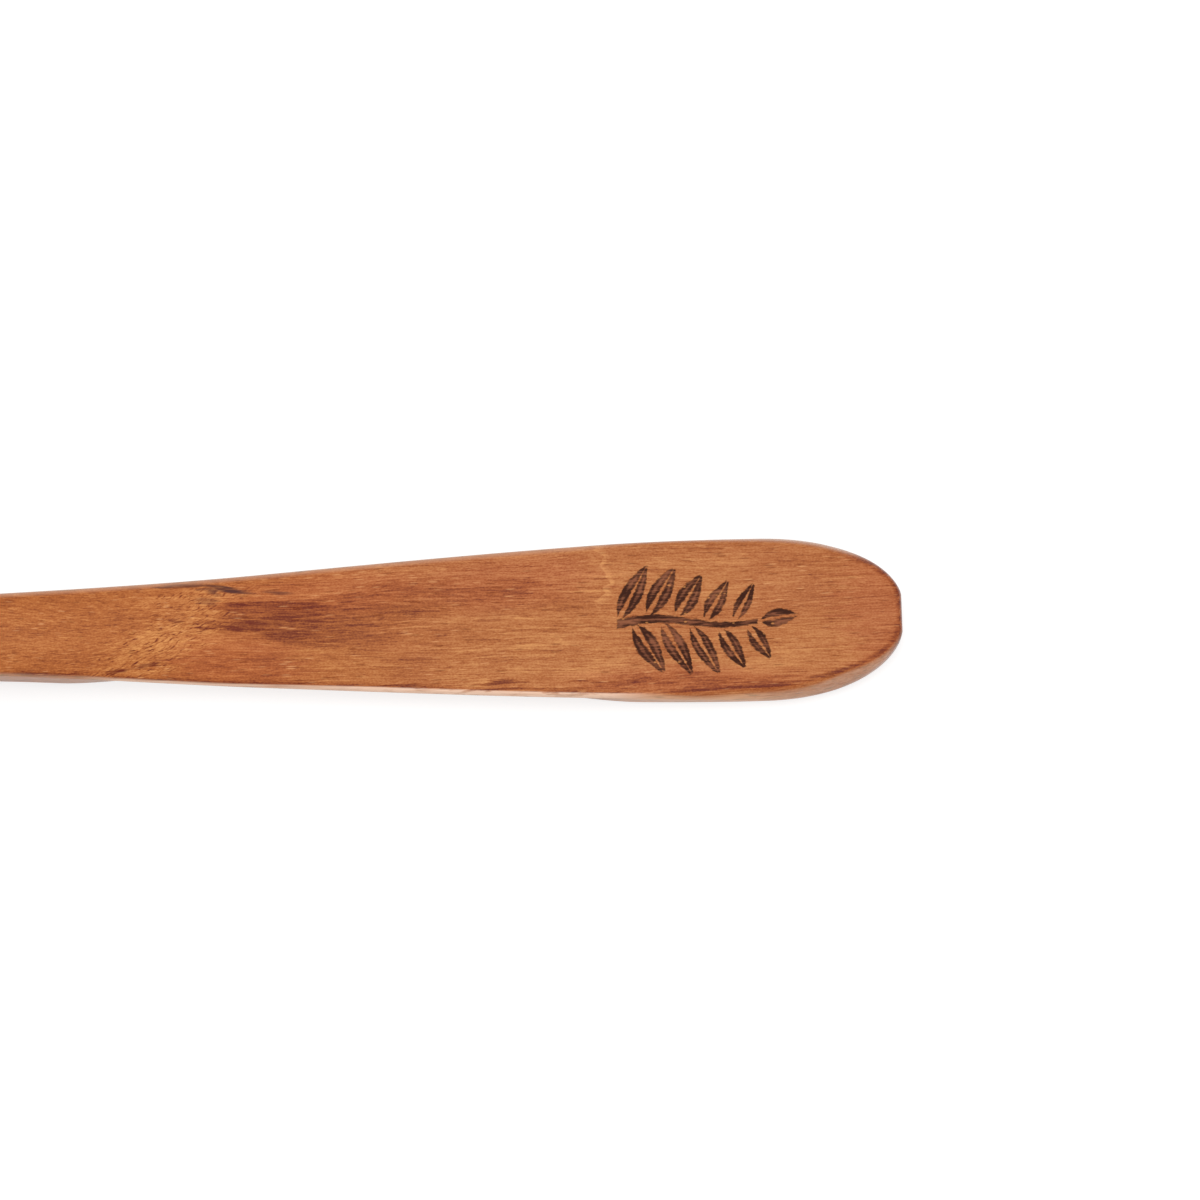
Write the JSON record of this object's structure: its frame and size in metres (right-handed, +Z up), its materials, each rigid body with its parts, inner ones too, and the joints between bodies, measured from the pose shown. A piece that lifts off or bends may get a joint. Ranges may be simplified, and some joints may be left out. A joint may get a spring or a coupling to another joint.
{
  "type": "ice cream spoon",
  "caption": "One-piece carved hardwood spoon with a shallow oval bowl, a slim raised neck and a flat handle widening to a rounded end.",
  "frame": {"origin": "on the table plane, under the middle of the spoon's length and width", "axes": "+X from the bowl to the end of the handle, +Z up out of the bowl"},
  "size_m": [0.165, 0.031, 0.0095],
  "materials": {
    "oiled_hardwood": "fine-sanded and lightly oiled, with open pores"
  },
  "bodies": {
    "root": {"spoon": "oiled_hardwood"}
  },
  "joints": []
}
